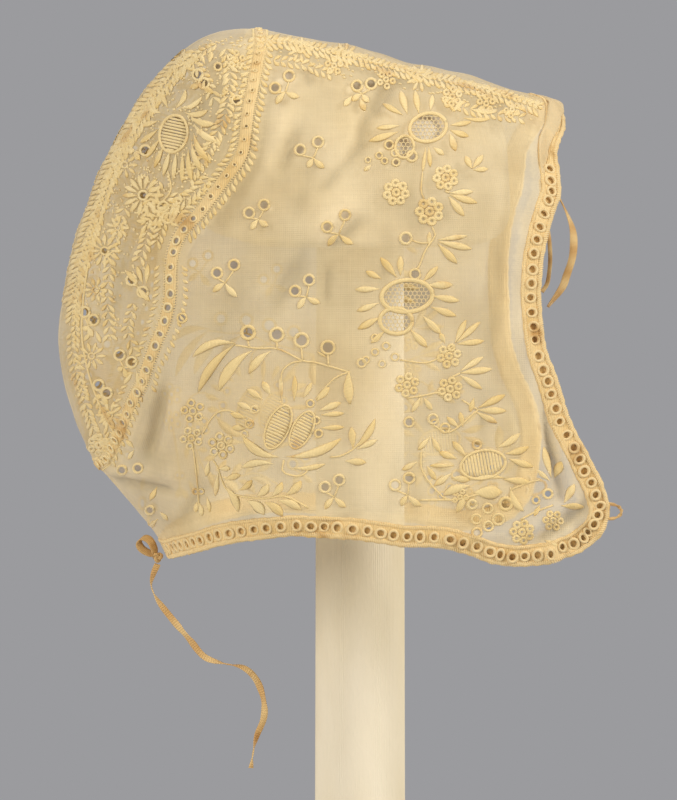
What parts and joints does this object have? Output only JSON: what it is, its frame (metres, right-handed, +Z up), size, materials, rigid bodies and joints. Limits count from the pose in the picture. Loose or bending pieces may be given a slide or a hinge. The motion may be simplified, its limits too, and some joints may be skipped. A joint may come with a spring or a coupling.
{
  "type": "infant's embroidered cap on a padded display post",
  "caption": "Small openwork-trimmed muslin bonnet with an oval back panel, worn on an infant's head, shown on a padded post with a round foot.",
  "frame": {"origin": "middle of the foot's underside, on the post's axis", "axes": "+Z up along the post; the face opening looks along -Y, the back of the head is +Y and the wearer's right side is -X"},
  "size_m": [0.11, 0.1558, 0.2986],
  "materials": {
    "muslin": "sheer aged muslin",
    "eyelet_trim": "corded eyelet trim",
    "tape": "narrow amber tape",
    "post_cloth": "fine ribbed cream cloth",
    "foot": "plain pale paint"
  },
  "bodies": {
    "root": {"head_panel": "muslin", "crown_panel": "muslin", "crown_insertion": "eyelet_trim", "front_edging": "eyelet_trim", "neck_edging": "eyelet_trim", "corner_loop_right": "tape", "corner_loop_left": "tape", "nape_knot": "tape", "nape_loop": "tape", "nape_tie": "tape", "front_tie_long": "tape", "front_tie_short": "tape", "stand_pad": "post_cloth", "stand_post": "post_cloth", "stand_base": "foot"}
  },
  "joints": []
}
